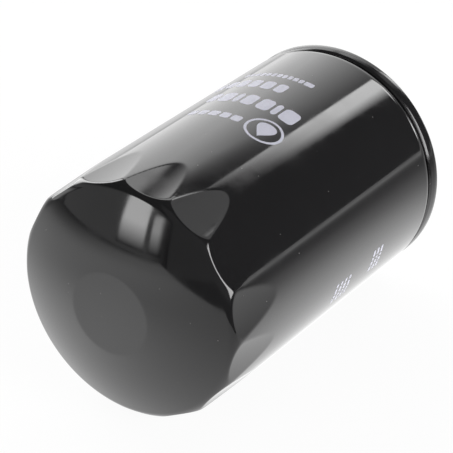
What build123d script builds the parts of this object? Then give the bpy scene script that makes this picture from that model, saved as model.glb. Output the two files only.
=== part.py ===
from build123d import *
import os
from math import asin, cos, pi, radians, sin, sqrt

# Spin-on oil filter, millimetres. The can lies along Y: the threaded end faces +Y and the
# domed end faces -Y. The origin is on the thread axis, on the outer face of the tapping plate.
# Outlines are lists of (radius, y) points that are turned about the Y axis.

# Can
CAN_RADIUS = 38.0
CAN_LENGTH = 123.0
SHEET = 0.38
SEAM_END_Y = 2.0
WALL_END_Y = SEAM_END_Y - 5.7
DISC_Y = SEAM_END_Y - CAN_LENGTH
DISC_RADIUS = 13.0
CROWN_RADIUS = 77.3
KNUCKLE_RADIUS = 5.0
SHOULDER_RADIUS = 1.22

# Cap-wrench flutes
FLUTE_COUNT = 15
FLUTE_PHASE = 32.86
FLUTE_TOP_Y = -94.1
FLUTE_SLOPE = 0.0744
FLUTE_RADIUS = 80.0

# Double seam: five layers of sheet, one pitch apart
SEAM_PITCH = 0.40
SEAM_HEIGHT = 4.2
SEAM_INNER_RADIUS = CAN_RADIUS - 5 * SEAM_PITCH
HOOK_TOP_Y = SEAM_END_Y - 1.5 * SEAM_PITCH

# Tapping plate and thread (3/4-16 UNF, bore at the minor diameter)
THREAD_MINOR_RADIUS = 8.75
THREAD_LENGTH = 9.0
COLLAR_RADIUS = 12.0
PLATE_THICKNESS = 3.0
RIM_DEPTH = 2.7
RIM_INNER_RADIUS = 28.0
RIM_OUTER_RADIUS = 35.6
INLET_COUNT = 8
INLET_RADIUS = 3.5
INLET_CIRCLE_RADIUS = 20.0

# Gasket and its groove
GASKET_INNER_RADIUS = 31.0
GASKET_OUTER_RADIUS = 35.75
GROOVE_Y = -1.5
GASKET_FACE_Y = 3.6
GROOVE_WALL_RADIUS = 30.6
WEB_INNER_RADIUS = 25.5

# Element
CAP_SHEET = 0.45
CAP_RADIUS = 31.6
OUTLET_CAP_Y = -8.6
CLOSED_CAP_Y = -96.37
CAP_SKIRT = 4.2
SPIGOT_RADIUS = 12.6
SPIGOT_DEPTH = 3.2
TUBE_RADIUS = 14.0
TUBE_SHEET = 0.5
POTTING_DEPTH = 1.6
MEDIA_INNER_RADIUS = 15.0
MEDIA_OUTER_RADIUS = 30.6
PLEAT_COUNT = 54
PAPER = 0.4
CLIP_SHEET = 0.22
CLIP_REACH = 1.6
CLIP_END_GAP = 0.6

# Anti-drainback valve
VALVE_COLLAR_RADIUS = 14.6
VALVE_COLLAR_STEP = 0.8
FLAP_INNER_RADIUS = VALVE_COLLAR_RADIUS + 0.3
FLAP_LIP_RADIUS = 25.2
FLAP_OUTER_RADIUS = 26.4
FLAP_THICKNESS = 0.85
FLAP_HOLLOW = 0.45

# Bypass valve
CAGE_RADIUS = 10.4
CAGE_TOP_Y = -82.0
SEAT_LIP_Y = -95.0
STEM_RADIUS = 1.5
STEM_END_Y = -78.5
STEM_HEAD_RADIUS = 3.2
STEM_HEAD = 0.6
SEAT_INNER_RADIUS = 5.5
SEAT_LIP = 0.9
SEAT_SHEET = 0.75
CURL_RADIUS = 9.0
VALVE_SHEET = 0.4
SEAL_RADIUS = 8.4
SEAL_TOP = 1.0
DISC_OUTER_RADIUS = 9.2
DISC_TOP = 1.6
WINDOW = (8.0, 9.0, 6.0)
WINDOW_Y = -88.5

# Springs: coil radius, wire radius
BYPASS_COIL_RADIUS = 5.5
BYPASS_WIRE_RADIUS = 0.45
ELEMENT_COIL_RADIUS = 19.0
ELEMENT_WIRE_RADIUS = 1.1
ELEMENT_SPRING_Y = -117.9

GAP = 0.02


def turned(outline):
    """The solid that an outline of (radius, y) points makes when it is turned about Y."""
    return revolve(make_face(Polyline(*outline, close=True)), Axis.Y)


def ring(inner, outer, low, high):
    """A plain ring with a rectangular section."""
    return turned([(inner, low), (outer, low), (outer, high), (inner, high)])


def rounded(outline, corners):
    """An outline turned about Y, with some corners rounded: {(radius, y): fillet radius}."""
    face = make_face(Polyline(*outline, close=True))
    for (x, y), size in corners.items():
        corner = face.vertices().sort_by_distance((x, y, 0))[0]
        face = fillet(corner, size)
    return revolve(face, Axis.Y)


def around(shape, count, phase=0.0):
    """Copies of a shape, evenly spaced about the Y axis."""
    return [shape.rotate(Axis.Y, -(phase + 360.0 * i / count)) for i in range(count)]


def can_body(inset):
    """The can's filled form up to its neck, with every surface moved inwards by inset."""
    knuckle_reach = CAN_RADIUS - KNUCKLE_RADIUS
    crown = CROWN_RADIUS - inset
    knuckle = KNUCKLE_RADIUS - inset
    disc_edge = sqrt(CROWN_RADIUS**2 - DISC_RADIUS**2)
    crown_centre = DISC_Y + disc_edge
    knuckle_y = crown_centre - sqrt((CROWN_RADIUS - KNUCKLE_RADIUS) ** 2 - knuckle_reach**2)
    lean = asin(knuckle_reach / (CROWN_RADIUS - KNUCKLE_RADIUS))
    floor_y = DISC_Y + inset
    floor_radius = sqrt(crown**2 - (crown_centre - floor_y) ** 2)

    def on_crown(angle):
        return (crown * sin(angle), crown_centre - crown * cos(angle))

    def on_knuckle(angle):
        return (knuckle_reach + knuckle * sin(angle), knuckle_y - knuckle * cos(angle))

    start = asin(floor_radius / crown)
    radius = CAN_RADIUS - inset
    shoulder = SHOULDER_RADIUS - inset
    shoulder_x = CAN_RADIUS - SHOULDER_RADIUS
    bend = shoulder * sin(radians(45))
    neck = shoulder_x - inset
    top = HOOK_TOP_Y
    edges = [
        Line((0, top), (0, floor_y)),
        Line((0, floor_y), (floor_radius, floor_y)),
        ThreePointArc((floor_radius, floor_y), on_crown((start + lean) / 2), on_crown(lean)),
        ThreePointArc(on_knuckle(lean), on_knuckle((lean + pi / 2) / 2), on_knuckle(pi / 2)),
        Line(on_knuckle(pi / 2), (radius, WALL_END_Y)),
        ThreePointArc(
            (radius, WALL_END_Y),
            (shoulder_x + bend, WALL_END_Y + bend),
            (shoulder_x, WALL_END_Y + shoulder),
        ),
    ]
    if inset:
        edges.append(Line((shoulder_x, WALL_END_Y + shoulder), (neck, WALL_END_Y + shoulder)))
    edges += [Line((neck, WALL_END_Y + shoulder), (neck, top)), Line((neck, top), (0, top))]
    return revolve(make_face(edges), Axis.Y)


def flute_cutters(growth):
    """One shallow round scoop per flute, leaning towards the axis at the domed end."""
    radius = FLUTE_RADIUS + growth
    lean = asin(FLUTE_SLOPE)
    scoop = Cylinder(radius, 60.0).rotate(Axis.X, 90)
    scoop = scoop.rotate(Axis.Z, -lean * 180 / pi)
    scoop = scoop.moved(Location((CAN_RADIUS + FLUTE_RADIUS / cos(lean), FLUTE_TOP_Y, 0)))
    return around(scoop, FLUTE_COUNT, FLUTE_PHASE)


def can_shell():
    """Fluted, domed can with its half of the double seam."""
    outer = can_body(0.0)
    inner = can_body(SHEET)
    for cutter, grown in zip(flute_cutters(0.0), flute_cutters(SHEET)):
        outer -= cutter
        inner -= grown
    wall = SEAM_INNER_RADIUS + SEAM_PITCH
    hook = SEAM_INNER_RADIUS + 3 * SEAM_PITCH
    top = HOOK_TOP_Y
    hook_low = SEAM_END_Y - SEAM_HEIGHT + 0.7
    body_hook = turned(
        [
            (wall, top - SHEET),
            (hook, top - SHEET),
            (hook, hook_low),
            (hook + SHEET, hook_low),
            (hook + SHEET, top),
            (wall, top),
        ]
    )
    return outer - inner + body_hook


def seaming_lid():
    """Pressed lid: welded web, gasket groove, and the seam's outer half."""
    inner = SEAM_INNER_RADIUS
    cover_hook = inner + 2 * SEAM_PITCH
    outer_wall = inner + 4 * SEAM_PITCH
    seam_low = SEAM_END_Y - SEAM_HEIGHT
    outline = [
        (WEB_INNER_RADIUS, SHEET),
        (GROOVE_WALL_RADIUS, SHEET),
        (GROOVE_WALL_RADIUS, GROOVE_Y),
        (inner, GROOVE_Y),
        (inner, SEAM_END_Y),
        (outer_wall + SHEET, SEAM_END_Y),
        (outer_wall + SHEET, seam_low),
        (cover_hook, seam_low),
        (cover_hook, SEAM_END_Y - 1.1),
        (cover_hook + SHEET, SEAM_END_Y - 1.1),
        (cover_hook + SHEET, seam_low + SHEET),
        (outer_wall, seam_low + SHEET),
        (outer_wall, SEAM_END_Y - SHEET),
        (inner + SHEET, SEAM_END_Y - SHEET),
        (inner + SHEET, GROOVE_Y - SHEET),
        (GROOVE_WALL_RADIUS - SHEET, GROOVE_Y - SHEET),
        (GROOVE_WALL_RADIUS - SHEET, 0),
        (WEB_INNER_RADIUS, 0),
    ]
    corners = {
        (outer_wall + SHEET, SEAM_END_Y): 0.6,
        (inner, SEAM_END_Y): 0.6,
        (outer_wall + SHEET, seam_low): 0.5,
        (GROOVE_WALL_RADIUS, SHEET): 0.5,
        (inner, GROOVE_Y): 0.3,
    }
    return rounded(outline, corners)


def seam_compound():
    """Sealing compound in the top of the double seam."""
    wall = SEAM_INNER_RADIUS + SEAM_PITCH
    hook_end = SEAM_INNER_RADIUS + 4 * SEAM_PITCH - GAP
    return ring(wall, hook_end, HOOK_TOP_Y + GAP, SEAM_END_Y - SHEET - GAP)


def tapping_plate():
    """Thick plate with a threaded collar, inlet holes and a stepped rim under the groove."""
    rim_top = GROOVE_Y - SHEET - GAP
    rim_low = rim_top - RIM_DEPTH
    web_outer = GROOVE_WALL_RADIUS - SHEET - 0.1
    plate = rounded(
        [
            (THREAD_MINOR_RADIUS, 0),
            (web_outer, 0),
            (web_outer, rim_top),
            (RIM_OUTER_RADIUS, rim_top),
            (RIM_OUTER_RADIUS, rim_low),
            (RIM_INNER_RADIUS, rim_low),
            (RIM_INNER_RADIUS, -PLATE_THICKNESS),
            (COLLAR_RADIUS, -PLATE_THICKNESS),
            (COLLAR_RADIUS, -THREAD_LENGTH),
            (THREAD_MINOR_RADIUS, -THREAD_LENGTH),
        ],
        {(RIM_OUTER_RADIUS, rim_low): 0.8, (RIM_INNER_RADIUS, rim_low): 0.8},
    )
    drill = Cylinder(INLET_RADIUS, 20.0).rotate(Axis.X, 90)
    drill = drill.moved(Location((INLET_CIRCLE_RADIUS, 0, 0)))
    for hole in around(drill, INLET_COUNT):
        plate -= hole
    return plate


def sealing_gasket():
    """Square-section ring that stands proud of the seam."""
    inner, outer = GASKET_INNER_RADIUS, GASKET_OUTER_RADIUS
    outline = [
        (inner, GROOVE_Y),
        (outer, GROOVE_Y),
        (outer, GASKET_FACE_Y),
        (inner, GASKET_FACE_Y),
    ]
    return rounded(outline, {point: 0.4 for point in outline})


def drainback_collar():
    """Inner ring of the rubber valve, clamped between the plate and the outlet cap."""
    inner = COLLAR_RADIUS + 0.05
    low, high = OUTLET_CAP_Y + GAP, -PLATE_THICKNESS - GAP
    outer, step = VALVE_COLLAR_RADIUS, VALVE_COLLAR_STEP
    return turned(
        [(inner, low), (outer, low), (outer, high - step), (outer - step, high), (inner, high)]
    )


def drainback_flap():
    """Flap of the rubber valve: a shallow cone with a lip that seals beyond the inlet holes."""
    face = -PLATE_THICKNESS - 0.05
    lip = FLAP_LIP_RADIUS
    thick = FLAP_THICKNESS
    return turned(
        [
            (FLAP_INNER_RADIUS, face - 2 * FLAP_HOLLOW),
            (lip - FLAP_HOLLOW, face - FLAP_HOLLOW),
            (lip, face),
            (FLAP_OUTER_RADIUS, face),
            (FLAP_OUTER_RADIUS, face - thick),
            (lip, face - FLAP_HOLLOW - thick),
            (FLAP_INNER_RADIUS, face - 2 * FLAP_HOLLOW - thick),
        ]
    )


def outlet_end_cap():
    """Cap on the thread side, with a short spigot into the centre tube."""
    low = OUTLET_CAP_Y - CAP_SHEET
    skirt_end = OUTLET_CAP_Y - CAP_SKIRT
    spigot_end = OUTLET_CAP_Y - SPIGOT_DEPTH
    return turned(
        [
            (SPIGOT_RADIUS, OUTLET_CAP_Y),
            (CAP_RADIUS, OUTLET_CAP_Y),
            (CAP_RADIUS, skirt_end),
            (CAP_RADIUS - CAP_SHEET, skirt_end),
            (CAP_RADIUS - CAP_SHEET, low),
            (SPIGOT_RADIUS + CAP_SHEET, low),
            (SPIGOT_RADIUS + CAP_SHEET, spigot_end),
            (SPIGOT_RADIUS, spigot_end),
        ]
    )


def closed_end_cap():
    """Cap on the domed side, with the hole that the bypass valve is pressed into."""
    hole = CAGE_RADIUS + 0.05
    high = CLOSED_CAP_Y + CAP_SHEET
    skirt_end = CLOSED_CAP_Y + CAP_SKIRT
    return turned(
        [
            (hole, CLOSED_CAP_Y),
            (CAP_RADIUS, CLOSED_CAP_Y),
            (CAP_RADIUS, skirt_end),
            (CAP_RADIUS - CAP_SHEET, skirt_end),
            (CAP_RADIUS - CAP_SHEET, high),
            (hole, high),
        ]
    )


def potting(face_y, depth):
    """Adhesive ring between an end cap and the paper."""
    return ring(TUBE_RADIUS + 0.05, CAP_RADIUS - CAP_SHEET - 0.05, *sorted((face_y, face_y + depth)))


def pleat_outline(tip, tip_half, valley, valley_half):
    """Closed zigzag in the XZ plane: a flat at each tip and a flat in each valley."""
    points = []
    for i in range(PLEAT_COUNT):
        for radius, half, shift in ((tip, tip_half, 0.0), (valley, valley_half, 0.5)):
            middle = 2 * pi * (i + shift) / PLEAT_COUNT
            for side in (-1, 1):
                angle = middle + side * half / radius
                points.append((radius * cos(angle), radius * sin(angle)))
    return points


def pleated_media():
    """Filter paper folded into a closed star."""
    low = CLOSED_CAP_Y + CAP_SHEET + POTTING_DEPTH + 2 * GAP
    high = OUTLET_CAP_Y - CAP_SHEET - POTTING_DEPTH - 2 * GAP
    tip_half, gap_half = 0.62, 0.15
    outside = pleat_outline(MEDIA_OUTER_RADIUS, tip_half, MEDIA_INNER_RADIUS + PAPER, gap_half)
    inside = pleat_outline(
        MEDIA_OUTER_RADIUS - PAPER, tip_half - PAPER, MEDIA_INNER_RADIUS, gap_half + PAPER
    )
    face = make_face(Polyline(*outside, close=True)) - make_face(Polyline(*inside, close=True))
    star = extrude(face, high - low)
    return star.rotate(Axis.X, -90).moved(Location((0, low, 0)))


def media_seam_clip():
    """U-shaped strip that grips one pleat along its tip."""
    thick, half = CLIP_SHEET, 0.66
    tip = MEDIA_OUTER_RADIUS + GAP
    inner = tip - CLIP_REACH
    strip = Polyline(
        (inner, -half - thick),
        (tip + thick, -half - thick),
        (tip + thick, half + thick),
        (inner, half + thick),
        (inner, half),
        (tip, half),
        (tip, -half),
        (inner, -half),
        close=True,
    )
    low = CLOSED_CAP_Y + CAP_SKIRT + CLIP_END_GAP
    high = OUTLET_CAP_Y - CAP_SKIRT - CLIP_END_GAP
    return extrude(make_face(strip), high - low).rotate(Axis.X, -90).moved(Location((0, low, 0)))


def centre_tube():
    """Perforated tube: staggered rows of holes, each pair drilled straight through."""
    low = CLOSED_CAP_Y + CAP_SHEET + GAP
    high = OUTLET_CAP_Y - CAP_SHEET - GAP
    tube = ring(TUBE_RADIUS - TUBE_SHEET, TUBE_RADIUS, low, high)
    rows, pitch, hole_radius = 9, 8.0, 2.2
    for row in range(rows):
        drill = Cylinder(hole_radius, 2 * TUBE_RADIUS + 4).rotate(Axis.Y, 90)
        drill = drill.moved(Location((0, high - 10.0 - row * pitch, 0)))
        for turn in range(4):
            tube -= drill.rotate(Axis.Y, 45.0 * turn + 22.5 * (row % 2))
    return tube


def bypass_cage():
    """Cage pressed into the closed cap: flange, windows, and a guide hole for the stem."""
    sheet = VALVE_SHEET
    wall = CAGE_RADIUS - sheet
    low = CLOSED_CAP_Y - sheet - 0.03
    flange_low = CLOSED_CAP_Y + CAP_SHEET + GAP
    flange_radius = TUBE_RADIUS - TUBE_SHEET - 0.3
    guide = STEM_RADIUS + 0.1
    cage = turned(
        [
            (CURL_RADIUS, low),
            (CAGE_RADIUS, low),
            (CAGE_RADIUS, flange_low),
            (flange_radius, flange_low),
            (flange_radius, flange_low + sheet),
            (CAGE_RADIUS, flange_low + sheet),
            (CAGE_RADIUS, CAGE_TOP_Y),
            (guide, CAGE_TOP_Y),
            (guide, CAGE_TOP_Y - sheet),
            (wall, CAGE_TOP_Y - sheet),
            (wall, low + sheet),
            (CURL_RADIUS, low + sheet),
        ]
    )
    window = Box(*WINDOW).moved(Location((CAGE_RADIUS, WINDOW_Y, 0)))
    for opening in around(window, 4):
        cage -= opening
    return cage


def bypass_seat():
    """Ring with a raised lip, held by the cage's curled edge."""
    low = CLOSED_CAP_Y - 0.01
    outer = CAGE_RADIUS - VALVE_SHEET - 0.05
    lip = SEAT_INNER_RADIUS + SEAT_LIP
    return turned(
        [
            (SEAT_INNER_RADIUS, low),
            (outer, low),
            (outer, low + SEAT_SHEET),
            (lip, low + SEAT_SHEET),
            (lip, SEAT_LIP_Y),
            (SEAT_INNER_RADIUS, SEAT_LIP_Y),
        ]
    )


def valve_washer(radius, low, high):
    """Flat ring on the stem, between two heights above the seat's lip."""
    return ring(STEM_RADIUS + 0.03, radius, SEAT_LIP_Y + low + GAP, SEAT_LIP_Y + high)


def bypass_stem():
    """Headed pin that runs through the washer, the disc and the cage's guide hole."""
    head_low = SEAT_LIP_Y - STEM_HEAD
    return turned(
        [
            (0, head_low),
            (STEM_HEAD_RADIUS, head_low),
            (STEM_HEAD_RADIUS, SEAT_LIP_Y),
            (STEM_RADIUS, SEAT_LIP_Y),
            (STEM_RADIUS, STEM_END_Y),
            (0, STEM_END_Y),
        ]
    )


def coil(radius, wire, low, high, turns):
    """Round-wire coil along Y whose wire centre runs from low to high."""
    height = high - low
    path = Helix(pitch=height / turns, height=height, radius=radius)
    section = Plane(path @ 0, z_dir=path % 0) * Circle(wire)
    return sweep(section, path, is_frenet=True).rotate(Axis.X, -90).moved(Location((0, low, 0)))


def bypass_spring():
    """Spring between the moving disc and the top of the cage."""
    wire = BYPASS_WIRE_RADIUS
    low = SEAT_LIP_Y + DISC_TOP + 0.06 + wire
    return coil(BYPASS_COIL_RADIUS, wire, low, CAGE_TOP_Y - VALVE_SHEET - 0.05 - wire, 6)


def element_spring():
    """Spring that pushes the element away from the dome."""
    wire = ELEMENT_WIRE_RADIUS
    return coil(ELEMENT_COIL_RADIUS, wire, ELEMENT_SPRING_Y, CLOSED_CAP_Y - 0.1 - wire, 3.5)


PARTS = {
    "can_shell": can_shell(),
    "seaming_lid": seaming_lid(),
    "seam_compound": seam_compound(),
    "tapping_plate": tapping_plate(),
    "sealing_gasket": sealing_gasket(),
    "drainback_collar": drainback_collar(),
    "drainback_flap": drainback_flap(),
    "outlet_end_cap": outlet_end_cap(),
    "outlet_potting": potting(OUTLET_CAP_Y - CAP_SHEET - GAP, -POTTING_DEPTH),
    "pleated_media": pleated_media(),
    "media_seam_clip": media_seam_clip(),
    "centre_tube": centre_tube(),
    "closed_potting": potting(CLOSED_CAP_Y + CAP_SHEET + GAP, POTTING_DEPTH),
    "closed_end_cap": closed_end_cap(),
    "bypass_cage": bypass_cage(),
    "bypass_seat": bypass_seat(),
    "bypass_seal": valve_washer(SEAL_RADIUS, 0, SEAL_TOP),
    "bypass_disc": valve_washer(DISC_OUTER_RADIUS, SEAL_TOP, DISC_TOP),
    "bypass_stem": bypass_stem(),
    "bypass_spring": bypass_spring(),
    "element_spring": element_spring(),
}

os.makedirs("parts", exist_ok=True)
for name, shape in PARTS.items():
    export_step(shape, f"parts/{name}.step")
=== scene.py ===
from math import atan2, cos, exp, pi, radians, sin, sqrt, tan

import bmesh
import bpy
import numpy as np
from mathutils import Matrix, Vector

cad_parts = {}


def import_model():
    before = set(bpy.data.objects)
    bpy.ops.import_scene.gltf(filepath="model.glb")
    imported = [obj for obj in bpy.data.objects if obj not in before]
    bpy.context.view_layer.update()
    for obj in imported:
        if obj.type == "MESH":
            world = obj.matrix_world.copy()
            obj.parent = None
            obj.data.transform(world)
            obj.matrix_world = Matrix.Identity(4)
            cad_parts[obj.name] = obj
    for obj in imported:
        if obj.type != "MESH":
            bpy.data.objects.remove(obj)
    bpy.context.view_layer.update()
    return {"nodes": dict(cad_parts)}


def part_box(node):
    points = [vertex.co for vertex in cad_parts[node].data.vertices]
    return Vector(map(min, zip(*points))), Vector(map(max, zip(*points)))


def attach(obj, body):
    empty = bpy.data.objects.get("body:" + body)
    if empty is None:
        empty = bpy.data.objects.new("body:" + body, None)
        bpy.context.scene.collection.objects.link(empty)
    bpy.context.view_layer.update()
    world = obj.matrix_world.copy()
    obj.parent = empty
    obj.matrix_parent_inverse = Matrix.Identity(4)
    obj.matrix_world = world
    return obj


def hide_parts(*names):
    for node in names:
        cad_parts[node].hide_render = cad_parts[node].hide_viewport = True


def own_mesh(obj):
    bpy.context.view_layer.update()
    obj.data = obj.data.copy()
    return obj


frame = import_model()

# A spin-on oil filter lying on its side. The can lies along Y, with the thread at +Y and the
# fluted dome at -Y. Sizes here are millimetres; MM turns them into the frame's metres.
MM = 0.001
nodes = frame["nodes"]


# ---------------------------------------------------------------- sizes

def low(node):
    """Lowest corner of a CAD node, in millimetres."""
    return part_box(node)[0] / MM


def high(node):
    """Highest corner of a CAD node, in millimetres."""
    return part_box(node)[1] / MM


CAN_RADIUS = high("can_shell").z
DISC_Y = low("can_shell").y
SEAM_END_Y = high("seaming_lid").y
GROUND_Z = -CAN_RADIUS
SHEET = 0.38

# Can: flat disc, crown, knuckle, wall, shoulder and neck
DISC_RADIUS = 13.0
CROWN_RADIUS = 77.3
KNUCKLE_RADIUS = 5.0
WALL_END_Y = SEAM_END_Y - 7.7
SHOULDER_DEPTH = 1.22
SHOULDER_LENGTH = 2.7

# Cap-wrench flutes, and the widths over which creases are rounded
FLUTE_COUNT = 15
FLUTE_PHASE = radians(32.86)
FLUTE_TOP_Y = -92.2
FLUTE_LEAN = radians(3.78)
FLUTE_RADIUS = 80.0
DISC_CREASE = 0.05
WALL_CREASE = 0.06
KNUCKLE_CREASE = 0.28

# Double seam: five layers of sheet, one pitch apart
SEAM_PITCH = 0.40
SEAM_LOW_Y = SEAM_END_Y - 4.2
SEAM_INNER_RADIUS = CAN_RADIUS - 5 * SEAM_PITCH
HOOK_TOP_Y = SEAM_END_Y - 1.5 * SEAM_PITCH
HOOK_LOW_Y = SEAM_LOW_Y + 1.2

# Lid web, gasket and its groove
LID_INNER_RADIUS = 25.5
LID_WEB_RADIUS = 30.6
GASKET_INNER_RADIUS = 31.0
GROOVE_Y = low("sealing_gasket").y
WELD_COUNT = 8
WELD_RADIUS = 1.5
WELD_DEPTH = 0.24

# Thread, 3/4-16 UNF
THREAD_PITCH = 25.4 / 16
THREAD_MINOR = 8.75
THREAD_MAJOR = 9.525
THREAD_LENGTH = 9.0
MOUTH_RADIUS = THREAD_MAJOR + 0.35
END_RADIUS = THREAD_MAJOR + 0.1

# Tapping plate
PLATE_THICKNESS = 3.0
COLLAR_RADIUS = 12.0
RIM_TOP_Y = GROOVE_Y - SHEET - 0.02
RIM_LOW_Y = RIM_TOP_Y - 2.7
RIM_INNER_RADIUS = 28.0
INLET_COUNT = 8
INLET_RADIUS = 3.5
INLET_CHAMFER = 0.45
INLET_CIRCLE_RADIUS = 20.0

# Anti-drainback flap
FLAP_INNER_RADIUS = 14.9


# ---------------------------------------------------------------- mesh helpers

def finish_mesh(name, mesh, material, body, sharp=35.0):
    """Object from a mesh: merged points, outward normals, smooth faces, sharp edges by angle."""
    bm = bmesh.new()
    bm.from_mesh(mesh)
    bmesh.ops.remove_doubles(bm, verts=bm.verts, dist=1e-8)
    bmesh.ops.recalc_face_normals(bm, faces=bm.faces)
    bm.to_mesh(mesh)
    bm.free()
    smooth_faces(mesh, sharp)
    mesh.materials.append(material)
    obj = bpy.data.objects.new(name, mesh)
    bpy.context.scene.collection.objects.link(obj)
    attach(obj, body)
    return obj


def smooth_faces(mesh, sharp):
    """Smooth shading, with edges sharper than an angle in degrees kept crisp (0 for none)."""
    mesh.polygons.foreach_set("use_smooth", [True] * len(mesh.polygons))
    if sharp:
        mesh.set_sharp_from_angle(angle=radians(sharp))


def even_normals(obj):
    """Large faces keep flat shading next to their rounded edges."""
    modifier = obj.modifiers.new("even_normals", "WEIGHTED_NORMAL")
    modifier.keep_sharp = True


def apply_modifiers(obj):
    """Makes an object's modifiers part of its mesh."""
    evaluated = obj.evaluated_get(bpy.context.evaluated_depsgraph_get())
    mesh = bpy.data.meshes.new_from_object(evaluated)
    obj.modifiers.clear()
    obj.data = mesh


def full_turn(count):
    """Angles evenly spaced round a circle."""
    return np.linspace(0, 2 * pi, count, endpoint=False)


def grid_faces(rows, columns, wrap_rows, wrap_columns):
    """Quads over a grid of points, closed round either way."""
    i = np.arange(rows if wrap_rows else rows - 1)
    j = np.arange(columns if wrap_columns else columns - 1)
    i, j = (a.ravel() for a in np.meshgrid(i, j, indexing="ij"))
    k, m = (i + 1) % rows, (j + 1) % columns
    return np.stack([i * columns + j, i * columns + m, k * columns + m, k * columns + j], 1)


def grid_mesh(name, points, wrap_rows=False, wrap_columns=True):
    """Mesh over a (rows, columns, 3) array of points in millimetres."""
    rows, columns, _ = points.shape
    mesh = bpy.data.meshes.new(name)
    faces = grid_faces(rows, columns, wrap_rows, wrap_columns)
    mesh.from_pydata((points.reshape(-1, 3) * MM).tolist(), [], faces.tolist())
    return mesh


def joined_mesh(name, grids, wrap_rows=True, wrap_columns=True):
    """One mesh made of several grids of points, with their open ends filled."""
    bm = bmesh.new()
    for points in grids:
        part = grid_mesh(name, points, wrap_rows, wrap_columns)
        bm.from_mesh(part)
        bpy.data.meshes.remove(part)
    bmesh.ops.remove_doubles(bm, verts=bm.verts, dist=1e-8)
    ends = [edge for edge in bm.edges if len(edge.link_faces) == 1]
    bmesh.ops.holes_fill(bm, edges=ends)
    bmesh.ops.recalc_face_normals(bm, faces=bm.faces)
    mesh = bpy.data.meshes.new(name)
    bm.to_mesh(mesh)
    bm.free()
    return mesh


def around(radius, height, angles):
    """Points at radius and height (arrays of rows by columns) turned about the Y axis."""
    turn = np.broadcast_to(angles, radius.shape)
    return np.stack([radius * np.cos(turn), height, radius * np.sin(turn)], -1)


def repeated(outline, columns):
    """Radius and height of an outline's (radius, y) points, each repeated over the columns."""
    return [np.repeat(outline[:, i : i + 1], columns, 1) for i in range(2)]


def rounded(outline, steps=6):
    """Outline of (radius, y, corner radius) points as points with every corner rounded."""
    result = []
    count = len(outline)
    for i, (x, y, size) in enumerate(outline):
        here = np.array([x, y])
        before = np.array(outline[i - 1][:2]) - here
        after = np.array(outline[(i + 1) % count][:2]) - here
        if not size:
            result.append(here)
            continue
        a, b = before / np.linalg.norm(before), after / np.linalg.norm(after)
        half = np.arccos(np.clip(a @ b, -1, 1)) / 2
        trim = size / tan(half)
        centre = here + (a + b) / np.linalg.norm(a + b) * size / sin(half)
        start, end = here + a * trim - centre, here + b * trim - centre
        total = np.arccos(np.clip(start @ end / size**2, -1, 1))
        for step in range(steps + 1):
            t = step / steps
            mix = (sin((1 - t) * total) * start + sin(t * total) * end) / sin(total)
            result.append(centre + mix)
    return np.array(result)


def divided(outline, spacing):
    """Closed outline with extra points, so that they lie about a spacing apart."""
    fine = [outline[0]]
    for point in [*outline[1:], outline[0]]:
        start = fine[-1]
        pieces = max(1, int(np.hypot(*(point - start)) / spacing))
        fine += [start + (point - start) * (i + 1) / pieces for i in range(pieces)]
    return np.array(fine[:-1])


def lathe(name, outline, columns, material, body, sharp=35.0):
    """Closed ring turned about the Y axis from a closed outline of (radius, y) points."""
    points = around(*repeated(outline, columns), full_turn(columns))
    return finish_mesh(name, grid_mesh(name, points, wrap_rows=True), material, body, sharp)


# ---------------------------------------------------------------- material helpers

def wire(tree, source, target):
    """Sets a socket to a number, or links another socket to it."""
    if isinstance(source, (int, float)):
        target.default_value = source
    else:
        tree.links.new(source, target)


def math_node(tree, operation, a, b):
    """Output of a Math node on two numbers or sockets."""
    made = tree.nodes.new("ShaderNodeMath")
    made.operation = operation
    wire(tree, a, made.inputs[0])
    wire(tree, b, made.inputs[1])
    return made.outputs["Value"]


def ramp_node(tree, value, start, end, low_value=0.0, high_value=1.0):
    """Maps start..end onto low_value..high_value, clamped."""
    made = tree.nodes.new("ShaderNodeMapRange")
    made.inputs["From Min"].default_value = start
    made.inputs["From Max"].default_value = end
    made.inputs["To Min"].default_value = low_value
    made.inputs["To Max"].default_value = high_value
    tree.links.new(value, made.inputs["Value"])
    return made.outputs["Result"]


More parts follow.
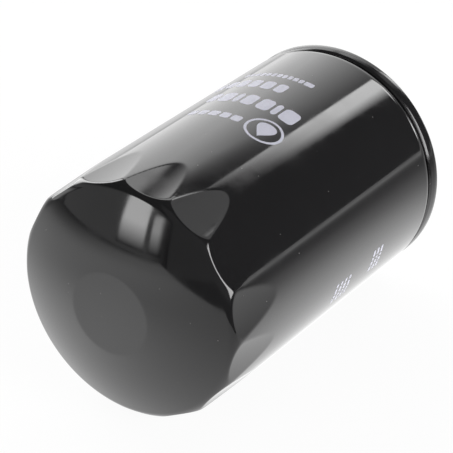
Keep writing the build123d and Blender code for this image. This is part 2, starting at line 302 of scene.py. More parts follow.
class Look:
    """A node material under construction: a Principled shader and short ways to wire it."""

    def __init__(self, name, base, roughness, metallic=0.0):
        self.material = bpy.data.materials.new(name)
        self.material.use_nodes = True
        self.tree = self.material.node_tree
        self.shader = self.tree.nodes["Principled BSDF"]
        self.shader.inputs["Metallic"].default_value = metallic
        self.base = base
        self.shader.inputs["Base Color"].default_value = (*base, 1)
        self.shader.inputs["Roughness"].default_value = roughness
        self.place = self.node("ShaderNodeTexCoord").outputs["Object"]

    def node(self, kind, **settings):
        made = self.tree.nodes.new(kind)
        for key, value in settings.items():
            setattr(made, key, value)
        return made

    def link(self, source, target):
        self.tree.links.new(source, target)

    def scaled_place(self, scale):
        """Place on the object, in metres, times a scale for each axis."""
        mapping = self.node("ShaderNodeMapping")
        mapping.inputs["Scale"].default_value = scale
        self.link(self.place, mapping.inputs["Vector"])
        return mapping.outputs["Vector"]

    def noise(self, size, detail=3.0, stretch=(1, 1, 1)):
        """Noise whose features are about size millimetres wide."""
        made = self.node("ShaderNodeTexNoise")
        made.inputs["Scale"].default_value = 1.0
        made.inputs["Detail"].default_value = detail
        place = self.scaled_place([s / (size * MM) for s in stretch])
        self.link(place, made.inputs["Vector"])
        return made.outputs["Fac"]

    def ramp(self, value, start, end, low_value=0.0, high_value=1.0):
        return ramp_node(self.tree, value, start, end, low_value, high_value)

    def math(self, operation, a, b):
        return math_node(self.tree, operation, a, b)

    def tint(self, factor, other):
        """Mixes the base colour towards another colour by a factor."""
        mix = self.node("ShaderNodeMix", data_type="RGBA")
        self.link(factor, mix.inputs["Factor"])
        current = self.shader.inputs["Base Color"]
        if current.links:
            self.link(current.links[0].from_socket, mix.inputs["A"])
        else:
            mix.inputs["A"].default_value = (*self.base, 1)
        mix.inputs["B"].default_value = (*other, 1)
        self.link(mix.outputs["Result"], current)

    def rough(self, factor, low_value, high_value):
        """Roughness that follows a factor of 0 to 1."""
        self.link(self.ramp(factor, 0, 1, low_value, high_value), self.shader.inputs["Roughness"])

    def bump(self, height, depth):
        """Surface relief of up to depth millimetres."""
        made = self.node("ShaderNodeBump")
        made.inputs["Distance"].default_value = depth * MM
        current = self.shader.inputs["Normal"]
        if current.links:
            self.link(current.links[0].from_socket, made.inputs["Normal"])
        self.link(height, made.inputs["Height"])
        self.link(made.outputs["Normal"], current)

    def specks(self, spacing, radius, share):
        """1 in small round specks: a share of the cells holds a speck of up to radius mm."""
        cells = self.node("ShaderNodeTexVoronoi")
        cells.inputs["Scale"].default_value = 1.0
        self.link(self.scaled_place([1 / (spacing * MM)] * 3), cells.inputs["Vector"])
        near = self.ramp(cells.outputs["Distance"], radius / spacing, 0.4 * radius / spacing)
        split = self.node("ShaderNodeSeparateColor")
        self.link(cells.outputs["Color"], split.inputs["Color"])
        chosen = self.math("LESS_THAN", split.outputs["Red"], share)
        return self.math("MULTIPLY", near, chosen)


# ---------------------------------------------------------------- materials

def black_paint(name, roughness, peel):
    """Gloss black enamel: faint orange peel and draw marks, dust specks, a dusty film."""
    look = Look(name, (0.0115, 0.0112, 0.0120), roughness)
    look.shader.inputs["IOR"].default_value = 1.7
    look.bump(look.noise(2.2, 2.0), peel)
    look.bump(look.noise(14.0, 1.0, stretch=(1, 0.45, 1)), 8 * peel)
    film = look.noise(9.0, 5.0)
    dust = look.specks(4.0, 0.17, 0.45)
    look.tint(look.ramp(film, 0.45, 0.8, 0.0, 0.25), (0.016, 0.0158, 0.0165))
    look.tint(dust, (0.30, 0.29, 0.28))
    look.rough(look.math("MAXIMUM", look.ramp(film, 0.4, 0.75, 0.0, 0.12), dust), roughness, 0.6)
    return look.material


def rubber(name, base, roughness, grain):
    """Moulded rubber: fine grain, bloom in patches, oil film in others."""
    look = Look(name, base, roughness)
    look.bump(look.noise(0.35, 3.0), grain)
    look.tint(look.ramp(look.noise(4.0, 4.0), 0.5, 0.75, 0.0, 0.5), [2.2 * c for c in base])
    look.rough(look.ramp(look.noise(7.0, 3.0), 0.35, 0.65), 0.75 * roughness, 1.2 * roughness)
    return look.material


def metal(name, base, roughness, grain=(1, 1, 1), stain=(0.30, 0.27, 0.22)):
    """Plated sheet or wire: even or drawn-out grain, cloudy plating, small stains."""
    look = Look(name, base, roughness, metallic=1.0)
    scratch = look.noise(0.5, 4.0, stretch=grain)
    look.bump(scratch, 0.004)
    look.tint(look.ramp(look.noise(3.0, 4.0), 0.45, 0.75, 0.0, 0.35), [0.8 * c for c in base])
    look.tint(look.specks(6.0, 0.5, 0.12), stain)
    look.rough(scratch, 0.6 * roughness, 1.5 * roughness)
    return look.material


def paper():
    """Resin-treated filter paper: fibres, slight mottling."""
    look = Look("filter_paper", (0.70, 0.52, 0.26), 0.85)
    fibre = look.noise(0.25, 6.0, stretch=(1, 0.2, 1))
    look.bump(fibre, 0.03)
    look.tint(look.ramp(look.noise(1.8, 5.0), 0.4, 0.7, 0.0, 0.6), (0.56, 0.38, 0.17))
    look.rough(fibre, 0.75, 0.95)
    return look.material


def adhesive():
    """Cured potting adhesive: smooth skin with pinholes."""
    look = Look("adhesive", (0.55, 0.46, 0.30), 0.45)
    look.bump(look.noise(2.0, 2.0), 0.05)
    look.tint(look.specks(1.6, 0.18, 0.4), (0.28, 0.21, 0.12))
    look.rough(look.noise(1.2, 3.0), 0.35, 0.6)
    return look.material


def print_white():
    """Screen-printed ink: faintly lavender white, thinner and greyer in tiny patches."""
    look = Look("print_white", (0.62, 0.62, 0.72), 0.42)
    look.tint(look.ramp(look.noise(0.6, 4.0), 0.55, 0.8, 0.0, 0.5), (0.42, 0.42, 0.50))
    look.bump(look.noise(0.3, 3.0), 0.004)
    look.rough(look.noise(0.5, 2.0), 0.35, 0.55)
    return look.material


LOOKS = {
    "can": black_paint("black_paint", 0.055, 0.0004),
    "lid": black_paint("lid_paint", 0.13, 0.001),
    "compound": rubber("seam_compound", (0.40, 0.36, 0.29), 0.6, 0.02),
    "plate": metal("plate_steel", (0.60, 0.60, 0.57), 0.30),
    "gasket": rubber("gasket_rubber", (0.022, 0.022, 0.023), 0.42, 0.008),
    "valve": rubber("valve_rubber", (0.045, 0.045, 0.047), 0.6, 0.012),
    "cap": metal("cap_steel", (0.58, 0.58, 0.56), 0.28, grain=(1, 1, 0.1)),
    "adhesive": adhesive(),
    "paper": paper(),
    "tube": metal("tube_steel", (0.55, 0.55, 0.55), 0.30, grain=(1, 0.1, 1)),
    "bypass": metal("valve_steel", (0.52, 0.52, 0.50), 0.34),
    "spring": metal("spring_steel", (0.30, 0.30, 0.31), 0.36, grain=(0.3, 1, 0.3)),
    "print": print_white(),
}


# ---------------------------------------------------------------- can

def smooth_max(a, b, width):
    """The larger of a and b, with the corner between them rounded over width."""
    overlap = np.clip(width - np.abs(a - b), 0, None) / width
    return np.maximum(a, b) + overlap**2 * width / 4


def can_outline():
    """Rows of the can's outer form, dome to neck, and the height of the knuckle's centre.

    A row is (radius, y, normal radius, normal y). Rows lie closer together at the disc's edge,
    round the knuckle, over the flutes and round the shoulder.
    """
    crown_y = DISC_Y + sqrt(CROWN_RADIUS**2 - DISC_RADIUS**2)
    reach = CAN_RADIUS - KNUCKLE_RADIUS
    knuckle_y = crown_y - sqrt((CROWN_RADIUS - KNUCKLE_RADIUS) ** 2 - reach**2)
    lean = atan2(reach, crown_y - knuckle_y)
    disc_turn = DISC_RADIUS / CROWN_RADIUS
    rows = []

    def arc(centre_r, centre_y, size, start, end, count):
        for t in np.linspace(start, end, count):
            normal = (sin(t), -cos(t))
            rows.append((centre_r + size * normal[0], centre_y + size * normal[1], *normal))

    arc(0, crown_y, CROWN_RADIUS, 0.0, 0.88 * disc_turn, 6)
    arc(0, crown_y, CROWN_RADIUS, 0.90 * disc_turn, 1.12 * disc_turn, 9)
    arc(0, crown_y, CROWN_RADIUS, 1.2 * disc_turn, 0.985 * lean, 12)
    arc(reach, knuckle_y, KNUCKLE_RADIUS, lean, pi / 2, 44)
    wall = [
        np.linspace(0.3, 4, 16) + knuckle_y,
        np.linspace(4.4, 13.6, 24) + knuckle_y,
        np.linspace(14, 20, 14) + knuckle_y,
        np.linspace(knuckle_y + 26, WALL_END_Y - 0.1, 12),
    ]
    for y in np.concatenate(wall):
        rows.append((CAN_RADIUS, y, 1.0, 0.0))
    for t in np.linspace(0, pi / 2, 14):
        slope = np.array([SHOULDER_LENGTH * cos(t), SHOULDER_DEPTH * sin(t)])
        radius = CAN_RADIUS - SHOULDER_DEPTH * (1 - cos(t))
        normal = slope / np.linalg.norm(slope)
        rows.append((radius, WALL_END_Y + SHOULDER_LENGTH * sin(t), *normal))
    return np.array(rows), knuckle_y


def flute_depth(radius, y, angle, width):
    """How far a point lies inside the nearest flutes' round scoops, positive inside."""
    pitch = 2 * pi / FLUTE_COUNT
    local = (angle - FLUTE_PHASE + pitch / 2) % pitch - pitch / 2
    depth = []
    for turn in (0.0, np.where(local > 0, pitch, -pitch)):
        across = radius * np.sin(local - turn)
        out = radius * np.cos(local - turn) - CAN_RADIUS - FLUTE_RADIUS / cos(FLUTE_LEAN)
        along = out * cos(FLUTE_LEAN) - (y - FLUTE_TOP_Y) * sin(FLUTE_LEAN)
        depth.append(FLUTE_RADIUS - np.hypot(along, across))
    return smooth_max(*depth, width)


def pressed_in(outline, knuckle_y, angles):
    """How far the disc and the flutes press each point in along its normal, by bisection."""
    deepest, halvings = 4.0, 34
    base_r, base_y, normal_r, normal_y = (outline[:, i : i + 1] for i in range(4))
    at_knuckle = np.clip((knuckle_y + 2 - base_y) / 4, 0, 1)
    width = WALL_CREASE + (KNUCKLE_CREASE - WALL_CREASE) * at_knuckle
    near = np.zeros((len(outline), len(angles)))
    far = near + deepest
    for _ in range(halvings):
        push = (near + far) / 2
        radius = base_r - push * normal_r
        y = base_y - push * normal_y
        solid = smooth_max(-push, DISC_Y - y, DISC_CREASE)
        cut = smooth_max(solid, flute_depth(radius, y, angles[None, :], width), width)
        near = np.where(cut > 0, push, near)
        far = np.where(cut > 0, far, push)
    return np.where(base_y > WALL_END_Y - 1, 0.0, near)


def neck_outline():
    """Neck and can hook inside the double seam, from the shoulder out and back inside."""
    neck_out = CAN_RADIUS - SHOULDER_DEPTH
    neck_in = SEAM_INNER_RADIUS + SEAM_PITCH
    hook_in = SEAM_INNER_RADIUS + 3 * SEAM_PITCH
    hook_out = hook_in + SHEET
    under_top = HOOK_TOP_Y - SHEET
    shoulder_end = WALL_END_Y + SHOULDER_LENGTH
    edge = 0.05
    return np.array(
        [
            (neck_out, shoulder_end + 1.1),
            (neck_out, under_top - 0.12),
            (neck_out + 0.1, under_top),
            (hook_in - 0.1, under_top),
            (hook_in, under_top - 0.12),
            (hook_in, HOOK_LOW_Y + edge),
            (hook_in + edge, HOOK_LOW_Y),
            (hook_out - edge, HOOK_LOW_Y),
            (hook_out, HOOK_LOW_Y + edge),
            (hook_out, HOOK_TOP_Y - 0.35),
            (hook_out - 0.12, HOOK_TOP_Y - 0.1),
            (hook_out - 0.35, HOOK_TOP_Y),
            (neck_in + 0.2, HOOK_TOP_Y),
            (neck_in, HOOK_TOP_Y - 0.2),
            (neck_in, shoulder_end - 0.3),
        ]
    )


def can_skin(columns_per_flute=30):
    """Fluted, domed can: one closed sheet with its hook inside the double seam."""
    outline, knuckle_y = can_outline()
    columns = FLUTE_COUNT * columns_per_flute
    angles = FLUTE_PHASE + full_turn(columns)
    base, normal = outline[:, None, :2], outline[:, None, 2:]
    push = pressed_in(outline, knuckle_y, angles)[:, :, None]
    outer = base - push * normal
    inner = (base - (push + SHEET) * normal)[::-3]
    neck = np.repeat(neck_outline()[:, None], columns, 1)
    sheet = np.concatenate([outer, neck, inner])
    radius, height = np.clip(sheet[..., 0], 0, None), sheet[..., 1]
    mesh = grid_mesh("can_skin", around(radius, height, angles))
    can = finish_mesh("can_skin", mesh, LOOKS["can"], "can", sharp=0)
    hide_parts("can_shell")
    return can


# ---------------------------------------------------------------- threaded end

def lid_outline():
    """Closed outline of the lid: web, gasket groove, and its fold round the can's hook."""
    inner = SEAM_INNER_RADIUS
    hook = inner + 2 * SEAM_PITCH
    wall = inner + 4 * SEAM_PITCH
    outside = wall + SHEET
    hook_end = SEAM_END_Y - 1.1
    return rounded(
        [
            (LID_INNER_RADIUS, SHEET, 0.12),
            (LID_WEB_RADIUS, SHEET, 0.5),
            (LID_WEB_RADIUS, GROOVE_Y, 0.25),
            (inner, GROOVE_Y, 0.3),
            (inner, SEAM_END_Y, 0.8),
            (outside, SEAM_END_Y, 0.95),
            (outside, SEAM_END_Y - 2.0, 2.6),
            (outside - 0.33, SEAM_LOW_Y + 0.7, 1.0),
            (outside - 0.85, SEAM_LOW_Y, 0.3),
            (hook, SEAM_LOW_Y, 0.3),
            (hook, hook_end, 0.1),
            (hook + SHEET, hook_end, 0.1),
            (hook + SHEET, SEAM_LOW_Y + SHEET, 0.05),
            (wall - 0.45, SEAM_LOW_Y + SHEET, 0.05),
            (wall - 0.02, SEAM_LOW_Y + 1.15, 0.05),
            (wall, SEAM_END_Y - SHEET, 0.4),
            (inner + SHEET, SEAM_END_Y - SHEET, 0.4),
            (inner + SHEET, GROOVE_Y - SHEET, 0.1),
            (LID_WEB_RADIUS - SHEET, GROOVE_Y - SHEET, 0.1),
            (LID_WEB_RADIUS - SHEET, 0, 0.1),
            (LID_INNER_RADIUS, 0, 0.12),
        ]
    )


def seam_lid(columns=360):
    """Pressed lid with rolled seam, gasket groove and spot-weld dimples in its web."""
    radius, height = repeated(divided(lid_outline(), 0.35), columns)
    angles = full_turn(columns)
    pitch = 2 * pi / WELD_COUNT
    turn = (angles - pitch / 2) % pitch - pitch / 2
    weld_circle = (LID_INNER_RADIUS + LID_WEB_RADIUS) / 2
    away = np.hypot(radius * np.cos(turn) - weld_circle, radius * np.sin(turn))
    softness = 0.18
    dimple = WELD_DEPTH / (1 + np.exp((away - WELD_RADIUS) / softness))
    on_web = (radius < LID_WEB_RADIUS - 0.45) & (height > SHEET / 2)
    height = height - np.where(on_web, dimple, 0)
    mesh = grid_mesh("lid", around(radius, height, angles), wrap_rows=True)
    lid = finish_mesh("lid", mesh, LOOKS["lid"], "can", sharp=50)
    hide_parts("seaming_lid")
    return lid


def thread_radius(y, angle):
    """Radius of a 60-degree internal thread, chamfered at both ends, at points of the bore."""
    crest_share, flank_share = 0.25, 0.625
    turns = (y / THREAD_PITCH + angle / (2 * pi)) % 1.0
    tooth = np.abs(turns - 0.5) * 2
    rise = np.clip((tooth - crest_share) / flank_share, 0, 1)
    radius = THREAD_MINOR + (THREAD_MAJOR - THREAD_MINOR) * rise
    mouth = MOUTH_RADIUS + np.minimum(y, 0)
    end = END_RADIUS - (y + THREAD_LENGTH)
    return np.maximum(radius, np.maximum(mouth, end))


def plate_outline():
    """Outside of the plate, from the mouth of the bore round to the collar's inner end."""
    rim = high("tapping_plate").x
    web = LID_WEB_RADIUS - SHEET - 0.1
    return rounded(
        [
            (MOUTH_RADIUS, 0, 0),
            (web, 0, 0.15),
            (web, RIM_TOP_Y, 0.1),
            (rim, RIM_TOP_Y, 0.3),
            (rim, RIM_LOW_Y, 0.8),
            (RIM_INNER_RADIUS, RIM_LOW_Y, 0.8),
            (RIM_INNER_RADIUS, -PLATE_THICKNESS, 0.5),
            (COLLAR_RADIUS, -PLATE_THICKNESS, 0.8),
            (COLLAR_RADIUS, -THREAD_LENGTH, 0.5),
            (END_RADIUS, -THREAD_LENGTH, 0),
        ],
        steps=5,
    )


def inlet_drills(sides=48):
    """Object that cuts the inlet holes, with a chamfer at the plate's outer face."""
    wide = INLET_RADIUS + 2 * INLET_CHAMFER
    above, below = 1, -PLATE_THICKNESS - 1
    tool = np.array(
        [
            (0, below),
            (INLET_RADIUS, below),
            (INLET_RADIUS, -INLET_CHAMFER),
            (wide, INLET_CHAMFER),
            (wide, above),
            (0, above),
        ],
        float,
    )
    drill = around(*repeated(tool, sides), full_turn(sides))
    drills = []
    for angle in full_turn(INLET_COUNT):
        place = np.array([INLET_CIRCLE_RADIUS * cos(angle), 0, INLET_CIRCLE_RADIUS * sin(angle)])
        drills.append(drill + place)
    cutter = bpy.data.objects.new("drills", joined_mesh("drills", drills, wrap_rows=False))
    bpy.context.scene.collection.objects.link(cutter)
    return cutter


def plate(columns=144, bore_rows=148):
    """Thick plate with a cut thread, chamfered inlet holes and a stepped rim."""
    angles = full_turn(columns)
    radius, height = repeated(plate_outline(), columns)
    bore_y = np.linspace(-THREAD_LENGTH, 0, bore_rows + 2)[1:-1]
    bore_height = np.repeat(bore_y[:, None], columns, 1)
    radius = np.concatenate([radius, thread_radius(bore_height, angles)])
    height = np.concatenate([height, bore_height])
    mesh = grid_mesh("tapped_plate", around(radius, height, angles), wrap_rows=True)
    body = finish_mesh("tapped_plate", mesh, LOOKS["plate"], "can")
    cutter = inlet_drills()
    cut = body.modifiers.new("inlets", "BOOLEAN")
    cut.object = cutter
    cut.operation = "DIFFERENCE"
    cut.solver = "EXACT"
    apply_modifiers(body)
    bpy.data.objects.remove(cutter)
    smooth_faces(body.data, 28)
    even_normals(body)
    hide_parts("tapping_plate")
    return body


def gasket():
    """Square-section ring with a flash line round its outside and a groove in its face."""
    inner, outer = GASKET_INNER_RADIUS, high("sealing_gasket").x
    low_y, high_y = GROOVE_Y, high("sealing_gasket").y
    flash_y = (low_y + high_y) / 2 + 1.2
    flash = 0.04
    groove_depth = 0.12
    outline = rounded(
        [
            (inner, low_y, 0.4),
            (outer - 0.05, low_y, 0.4),
            (outer - flash, flash_y - 3 * flash, 0),
            (outer, flash_y - flash, 0),
            (outer, flash_y + flash, 0),
            (outer - flash, flash_y + 3 * flash, 0),
            (outer - 0.05, high_y, 0.5),
            (inner + 1.0, high_y, 0.2),
            (inner + 0.9, high_y - groove_depth, 0.1),
            (inner + 0.5, high_y - groove_depth, 0.1),
            (inner + 0.4, high_y, 0.1),
            (inner, high_y, 0.25),
        ],
        steps=5,
    )
    ring = lathe("gasket", outline, 240, LOOKS["gasket"], "can", sharp=40)
    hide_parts("sealing_gasket")
    return ring


def valve_collar():
    """Clamped rubber collar of the anti-drainback valve, with a shallow groove round it."""
    bottom, top = low("drainback_collar").y, high("drainback_collar").y
    inner, outer = COLLAR_RADIUS + 0.05, high("drainback_collar").x
    middle = (bottom + top) / 2
    groove = 0.5
    outline = rounded(
        [
            (inner, bottom, 0.3),
            (outer, bottom, 0.5),
            (outer, middle - groove, 0.3),
            (outer - groove, middle, 0.3),
            (outer, middle + groove, 0.3),
            (outer, top - 0.8, 0.3),
            (outer - 0.8, top, 0.3),
            (inner, top, 0.3),
        ],
        steps=5,
    )
    collar = lathe("valve_collar", outline, 160, LOOKS["valve"], "can")
    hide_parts("drainback_collar")
    return collar


def valve_flap():
    """Moving flap of the anti-drainback valve, with its raised sealing lip."""
    bottom, face = low("drainback_flap").y, high("drainback_flap").y
    inner, outer = FLAP_INNER_RADIUS, high("drainback_flap").x
    outline = rounded(
        [
            (inner, face - 0.9, 0.2),
            (outer - 1.8, face - 0.45, 0.8),
            (outer - 1.1, face, 0.2),
            (outer, face, 0.2),
            (outer, face - 0.85, 0.35),
            (outer - 1.2, face - 1.30, 1.5),
            (inner + 4, bottom + 0.28, 3.0),
            (inner, bottom, 0.2),
        ]
    )
    flap = lathe("valve_flap", outline, 200, LOOKS["valve"], "drainback_valve")
    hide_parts("drainback_flap")
    return flap


# ---------------------------------------------------------------- springs

def spring(name, node, coil_radius, wire_radius, turns, closed):
    """Round-wire coil along Y between its node's ends, with closed coils at both ends."""
    sides, rows_per_turn = 16, 56
    closed_pitch = 2.1 * wire_radius
    start, end = low(node).y + wire_radius, high(node).y - wire_radius
    t = np.linspace(0, turns, int(turns * rows_per_turn))
    middle = (t[1:] + t[:-1]) / 2
    open_pitch = (end - start - 2 * closed * closed_pitch) / (turns - 2 * closed)
    opening = np.clip(np.minimum(middle, turns - middle) / closed, 0, 1) ** 6
    rise = closed_pitch + (open_pitch - closed_pitch) * opening
    y = np.concatenate([[0], np.cumsum(rise * np.diff(t))])
    y = start + y * (end - start) / y[-1]
    section = full_turn(sides)[None, :]
    height = y[:, None] + wire_radius * np.sin(section)
    radius = np.broadcast_to(coil_radius + wire_radius * np.cos(section), height.shape)
    points = around(radius, height, 2 * pi * t[:, None])
    caps = [np.repeat(ring.mean(1, keepdims=True), sides, 1) for ring in (points[:1], points[-1:])]
    mesh = grid_mesh(name, np.concatenate([caps[0], points, caps[1]]))
    coil = finish_mesh(name, mesh, LOOKS["spring"], "can", sharp=50)
    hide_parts(node)
    return coil


# ---------------------------------------------------------------- print

INK_TOP = CAN_RADIUS + 0.025
INK_BOTTOM = CAN_RADIUS - 0.02


def on_can(radius, place):
    """Points at a radius, from an array of (degrees round the can, y)."""
    angle = np.radians(place[..., 0])
    return np.stack([radius * np.cos(angle), place[..., 1], radius * np.sin(angle)], -1)


def degrees_of(length):
    """Angle that a length in millimetres takes up round the can."""
    return np.degrees(length / CAN_RADIUS)


def printed(name, slabs, wrap_columns=True):
    """One printed piece made of thin closed slabs of ink."""
    mesh = joined_mesh(name, slabs, wrap_columns=wrap_columns)
    piece = finish_mesh(name, mesh, LOOKS["print"], "can", sharp=40)
    return piece


def patch(outline, centre, count=6, hole=0.001):
    """Slab over an outline of (mm, mm) points round a centre, open over a share of its size."""
    scales = np.linspace(hole, 1.0, count)[:, None]
    angle = centre[0] + degrees_of(outline[None, :, 0] * scales)
    y = centre[1] + outline[None, :, 1] * scales
    loops = np.stack([angle, y], -1)
    return np.concatenate([on_can(INK_TOP, loops), on_can(INK_BOTTOM, loops[::-1])])


def ring_outline(radius, points=72):
    t = full_turn(points)
    return np.stack([radius * np.cos(t), radius * np.sin(t)], -1)


def drop_outline(size, points=48):
    """A drop: a round bottom and a pointed top, size millimetres high."""
    t = full_turn(points)
    x = np.sin(t) * np.sin(t / 2) ** 1.6
    return np.stack([x * 0.56 * size, np.cos(t) * -0.5 * size], -1)


def bar(start, length, y_low, y_high):
    """Slab of a bar with rounded ends, from an angle in degrees on round the can."""
    half = (y_high - y_low) / 2
    corner = 0.45 * half
    curve = corner * (1 - np.cos(np.linspace(0, pi / 2, 5)))
    straight = np.linspace(0, length, max(2, int(length / 1.2)) + 1)
    straight = straight[(straight > corner) & (straight < length - corner)]
    along = np.concatenate([curve, straight, (length - curve)[::-1]])
    near_end = np.minimum(np.minimum(along, length - along), corner)
    reach = half - corner + np.sqrt(np.clip(corner**2 - (corner - near_end) ** 2, 0, None))
    angle = start + degrees_of(along)
    middle = (y_low + y_high) / 2
    low_side = np.stack([angle, middle - reach], -1)
    high_side = np.stack([angle, middle + reach], -1)
    sides = [(INK_BOTTOM, low_side), (INK_TOP, low_side), (INK_TOP, high_side), (INK_BOTTOM, high_side)]
    return np.array([on_can(radius, side) for radius, side in sides])


def bars(lengths, start, y_low, y_high, gap):
    """A row of bars, one after another round the can from an angle in degrees."""
    slabs = []
    for length in lengths:
        slabs.append(bar(start, length, y_low, y_high))
        start += degrees_of(length + gap)
    return slabs


def screen_print():
    """Plain marks in four rows on the upper side, and fine marks low on the +X side."""
    emblem = (72.0, -59.3)
    ring = patch(ring_outline(6.2), emblem, count=3, hole=0.86)
    drop = patch(drop_outline(8.2), emblem)
    printed("print_emblem", [ring, drop])

    caption = bars((3.2, 3.0, 3.4, 2.8, 3.2), 84.0, -61.6, -58.1, gap=0.8)
    heading = bars((5.4, 2.0, 4.4), 66.5, -50.3, -43.2, gap=0.9)
    heading += bars((4.2, 2.0, 4.4, 3.6), 89.0, -50.3, -43.2, gap=0.9)
    printed("print_heading", caption + heading, wrap_columns=False)

    subheading = bars((3.4, 3.8, 3.4, 3.6, 3.2, 3.8), 84.5, -37.6, -31.8, gap=1.0)
    printed("print_subheading", subheading, wrap_columns=False)

    note = bars((3.2, 1.4, 1.6, 1.4), 77.0, -27.8, -25.4, gap=0.5)
    note += bars((1.4, 1.6, 1.4), 91.5, -27.8, -25.4, gap=0.5)
    note += bars((1.6, 1.4, 1.8, 1.5, 1.4), 100.5, -27.8, -25.4, gap=0.5)
    printed("print_note", note, wrap_columns=False)

    fine = []
    for y in -57.0 + 2.4 * np.arange(4):
        fine += bars((1.6, 1.0, 2.2, 1.3), -25.5, y, y + 1.0, gap=0.5)
    for y in -36.2 + 2.2 * np.arange(3):
        fine += bars((2.0, 1.4, 1.0, 2.4), -23.0, y, y + 1.0, gap=0.5)
    printed("print_fine", fine, wrap_columns=False)


# ---------------------------------------------------------------- carried-over CAD nodes

CAD_LOOKS = {
    "seam_compound": "compound",
    "outlet_end_cap": "cap",
    "outlet_potting": "adhesive",
    "pleated_media": "paper",
    "media_seam_clip": "cap",
    "centre_tube": "tube",
    "closed_potting": "adhesive",
    "closed_end_cap": "cap",
    "bypass_cage": "bypass",
    "bypass_seat": "bypass",
    "bypass_seal": "valve",
    "bypass_disc": "bypass",
    "bypass_stem": "bypass",
}


def dress_cad_nodes():
    """Gives each CAD node that still shows its own material."""
    for name, look in CAD_LOOKS.items():
        slots = nodes[name].material_slots
        if not slots:
            nodes[name].data.materials.append(LOOKS[look])
        for holder in nodes[name].material_slots:
            holder.material = LOOKS[look]


# ---------------------------------------------------------------- stage

PANEL_CENTRE = Vector((0, -0.06, 0))

# The table's outline, in metres: its near edge passes close by on the camera's side
FLOOR_NEAR = [(-0.45, -2.9), (0.08, -0.25), (0.17, -0.03), (3.2, 1.6)]
FLOOR_EDGE = [*FLOOR_NEAR, (3.2, 4.5), (-4.5, 4.5), (-4.5, -2.9)]
FLOOR_SEEN = 0.94
FLOOR_BASE = 0.05
FLOOR_DIFFUSE = (0.08, 0.08, 0.08, 1)

# Pools of light on the table, in metres: x, y, size, brightness
FLOOR_POOLS = [
    (-0.04, -0.125, 0.05, 0.82),
    (0.05, -0.065, 0.035, 0.75),
    (0.04, -0.02, 0.04, 0.90),
    (0.05, 0.035, 0.04, 0.85),
    (0.12, 0.07, 0.06, 0.22),
    (0.13, -0.05, 0.04, 0.30),
    (-0.25, -0.20, 0.22, 0.36),
    (-0.20, 0.15, 0.22, 0.48),
    (-0.08, -0.40, 0.22, 0.42),
    (-0.25, -0.85, 0.35, 0.50),
    (0.78, 0.80, 0.28, 0.80),
    (1.70, 1.60, 0.60, 0.95),
    (-0.35, 0.35, 0.20, 0.60),
    (-1.15, 1.05, 0.50, 1.70),
    (-2.60, 2.60, 1.20, 2.00),
    (-0.30, -1.60, 0.60, 0.35),
]

BACKDROP = (1.0, 1.0, 1.0, 1)
DIM_ROOM = (0.07, 0.07, 0.07, 1)

CAMERA_TARGET = Vector((-3.46, -56.41, -1.555)) * MM
CAMERA_DISTANCE = 660.85 * MM
CAMERA_AZIMUTH = 33.83
CAMERA_ELEVATION = 28.02
CAMERA_LENS = 171.44
CAMERA_SENSOR = 36.0


def aim(azimuth, elevation):
    """Unit vector at an azimuth (0 is -Y, 90 is +X) and an elevation, in degrees."""
    a, e = radians(azimuth), radians(elevation)
    return Vector((sin(a) * cos(e), -cos(a) * cos(e), sin(e)))


def stage_object(name, mesh, material):
    """Object that isn't part of the filter."""
    mesh.materials.append(material)
    obj = bpy.data.objects.new(name, mesh)
    bpy.context.scene.collection.objects.link(obj)
    return obj


def glow(name):
    """Emission material, with its emission and output nodes for further wiring."""
    material = bpy.data.materials.new(name)
    material.use_nodes = True
    tree = material.node_tree
    tree.nodes.clear()
    out = tree.nodes.new("ShaderNodeOutputMaterial")
    emission = tree.nodes.new("ShaderNodeEmission")
    tree.links.new(emission.outputs[0], out.inputs["Surface"])
    return material, emission, out


def fading_glow(name, strength, fade):
    """Light that dims to nothing over a share of the panel at its left, right, bottom, top."""
    material, emission, _ = glow(name)
    tree = material.node_tree
    place = tree.nodes.new("ShaderNodeTexCoord")
    split = tree.nodes.new("ShaderNodeSeparateXYZ")
    tree.links.new(place.outputs["UV"], split.inputs["Vector"])
    across, up = split.outputs["X"], split.outputs["Y"]
    left, right, bottom, top = fade
    level = strength
    for way, edge, share in ((across, 0, left), (across, 1, -right), (up, 0, bottom), (up, 1, -top)):
        if share:
            level = math_node(tree, "MULTIPLY", level, ramp_node(tree, way, edge, edge + share))
    wire(tree, level, emission.inputs["Strength"])
    return material


def sky_panel(name, corners, strength, fade=(0, 0, 0, 0), distance=3.2, lean=0):
    """Light panel on a sphere round the object, between (azimuth, elevation) corners.

    fade is the share of the panel over which it dims at its left, right, bottom and top.
    lean is how many degrees higher its left side reaches than its right side.
    """
    (a0, e0), (a1, e1) = corners
    rows, columns = 12, 16
    places = [(j / columns, i / rows) for i in range(rows + 1) for j in range(columns + 1)]
    vertices = []
    for u, v in places:
        elevation = e0 + (e1 - e0 + lean * (0.5 - u)) * v
        vertices.append(PANEL_CENTRE + aim(a0 + (a1 - a0) * u, elevation) * distance)
    mesh = bpy.data.meshes.new(name)
    mesh.from_pydata(vertices, [], grid_faces(rows + 1, columns + 1, False, False).tolist())
    layer = mesh.uv_layers.new(name="place")
    for loop in mesh.loops:
        layer.data[loop.index].uv = places[loop.vertex_index]
    panel = stage_object(name, mesh, fading_glow(name, strength, fade))
    panel.visible_camera = False
    return panel


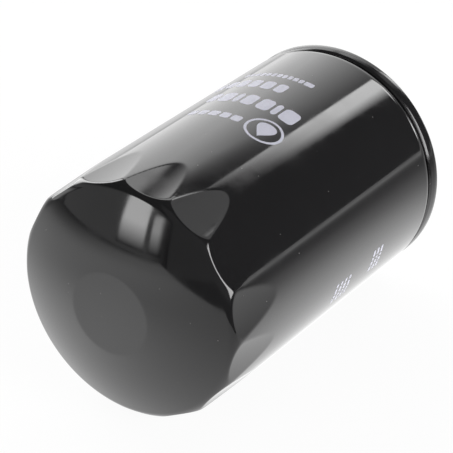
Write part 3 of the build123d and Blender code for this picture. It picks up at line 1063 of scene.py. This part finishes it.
def floor_light(tree):
    """Brightness of the table in reflections: a low level and round pools of light."""
    place = tree.nodes.new("ShaderNodeTexCoord").outputs["Object"]
    level = FLOOR_BASE
    for x, y, size, brightness in FLOOR_POOLS:
        distance = tree.nodes.new("ShaderNodeVectorMath")
        distance.operation = "DISTANCE"
        tree.links.new(place, distance.inputs[0])
        distance.inputs[1].default_value = (x, y, 0)
        sizes_away = math_node(tree, "DIVIDE", distance.outputs["Value"], size)
        squared = math_node(tree, "POWER", sizes_away, 2.0)
        fall = math_node(tree, "POWER", exp(-0.5), squared)
        level = math_node(tree, "ADD", level, math_node(tree, "MULTIPLY", fall, brightness))
    return level


def floor():
    """Pale table, bright round the object; reflections see its lit and its dimmer parts."""
    mesh = bpy.data.meshes.new("floor")
    z = (GROUND_Z - 0.05) * MM
    mesh.from_pydata([(x, y, z) for x, y in FLOOR_EDGE], [], [list(range(len(FLOOR_EDGE)))])
    material, emission, out = glow("floor")
    tree = material.node_tree
    choose = tree.nodes.new("ShaderNodeMix")
    seen = tree.nodes.new("ShaderNodeLightPath").outputs["Is Camera Ray"]
    tree.links.new(seen, choose.inputs["Factor"])
    tree.links.new(floor_light(tree), choose.inputs["A"])
    choose.inputs["B"].default_value = FLOOR_SEEN
    tree.links.new(choose.outputs["Result"], emission.inputs["Strength"])
    diffuse = tree.nodes.new("ShaderNodeBsdfDiffuse")
    diffuse.inputs["Color"].default_value = FLOOR_DIFFUSE
    add = tree.nodes.new("ShaderNodeAddShader")
    tree.links.new(emission.outputs[0], add.inputs[0])
    tree.links.new(diffuse.outputs[0], add.inputs[1])
    tree.links.new(add.outputs[0], out.inputs["Surface"])
    stage_object("floor", mesh, material)


def world():
    """White backdrop for the camera, dim room for reflections."""
    made = bpy.data.worlds.new("world")
    bpy.context.scene.world = made
    made.use_nodes = True
    tree = made.node_tree
    mix = tree.nodes.new("ShaderNodeMix")
    mix.data_type = "RGBA"
    seen = tree.nodes.new("ShaderNodeLightPath").outputs["Is Camera Ray"]
    tree.links.new(seen, mix.inputs["Factor"])
    mix.inputs["A"].default_value = DIM_ROOM
    mix.inputs["B"].default_value = BACKDROP
    tree.links.new(mix.outputs["Result"], tree.nodes["Background"].inputs["Color"])


def lights():
    """Soft boxes and a window, each between (azimuth, elevation) corners in degrees."""
    sky_panel("broad_left", ((-86, -5), (-130, 46)), 5.0, fade=(0.22, 0.2, 0, 0.1))
    sky_panel("left_glow", ((-62, -5), (-88, 16)), 1.3, fade=(0.4, 0, 0, 0.3), distance=3.3)
    sky_panel("broad_mid", ((-122, -5), (-146, 50)), 2.05, fade=(0.3, 0, 0, 0.1), distance=3.3)
    sky_panel("broad_back", ((-146, -5), (-193, 44)), 2.1, fade=(0, 0.98, 0, 0.09))
    sky_panel("back_high", ((-140, 44.5), (-186, 60)), 1.9, fade=(0.1, 0.3, 0.05, 0.3))
    sky_panel("strip", ((176.2, 22), (159, 41.2)), 5.0, fade=(0.07, 0.42, 0, 0.22), distance=3.1, lean=7)
    sky_panel("strip_high", ((180, 45), (162, 54)), 3.0, fade=(0.2, 0.2, 0.1, 0.3), distance=3.1)
    sky_panel("grey_wall", ((163, 42), (138, 62)), 0.6, fade=(0, 0.2, 0.1, 0.3), distance=3.4)
    sky_panel("back_low", ((178, -2), (155, 9)), 5.0, fade=(0.1, 0.1, 0, 0.3))
    sky_panel("window_left", ((-30.3, 1), (-16.3, 26)), 5.0, fade=(0.10, 0.05, 0.42, 0.1))
    sky_panel("window_right", ((-14.6, 1), (-8.4, 18)), 3.1, fade=(0.15, 0.35, 0.6, 0.1))
    sky_panel("front_wall", ((-90, -5), (-5, 32)), 0.38, fade=(0, 0.1, 0, 0.3), distance=3.4)
    sky_panel("room", ((-5, -5), (66, 60)), 0.16, distance=3.4)
    sky_panel("lamp", ((68, -1), (105, 42)), 6.0, fade=(0.1, 0.1, 0, 0.1))


def camera():
    """Long lens from the front right, above the domed end."""
    data = bpy.data.cameras.new("camera")
    data.sensor_width = CAMERA_SENSOR
    data.lens = CAMERA_LENS
    data.clip_start = 0.01
    data.clip_end = 50.0
    eye = bpy.data.objects.new("camera", data)
    back = aim(CAMERA_AZIMUTH, CAMERA_ELEVATION)
    eye.location = CAMERA_TARGET + back * CAMERA_DISTANCE
    eye.rotation_mode = "QUATERNION"
    eye.rotation_quaternion = (-back).to_track_quat("-Z", "Y")
    bpy.context.scene.collection.objects.link(eye)
    bpy.context.scene.camera = eye


# ---------------------------------------------------------------- build

bpy.context.scene.view_settings.view_transform = "Standard"
camera()
world()
floor()
lights()

can_skin()
seam_lid()
plate()
gasket()
valve_collar()
valve_flap()
spring("element_coil", "element_spring", 19.0, 1.1, turns=3.5, closed=0.9)
valve_spring = spring("bypass_coil", "bypass_spring", 5.5, 0.45, turns=6.5, closed=1.0)
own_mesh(valve_spring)
screen_print()
dress_cad_nodes()
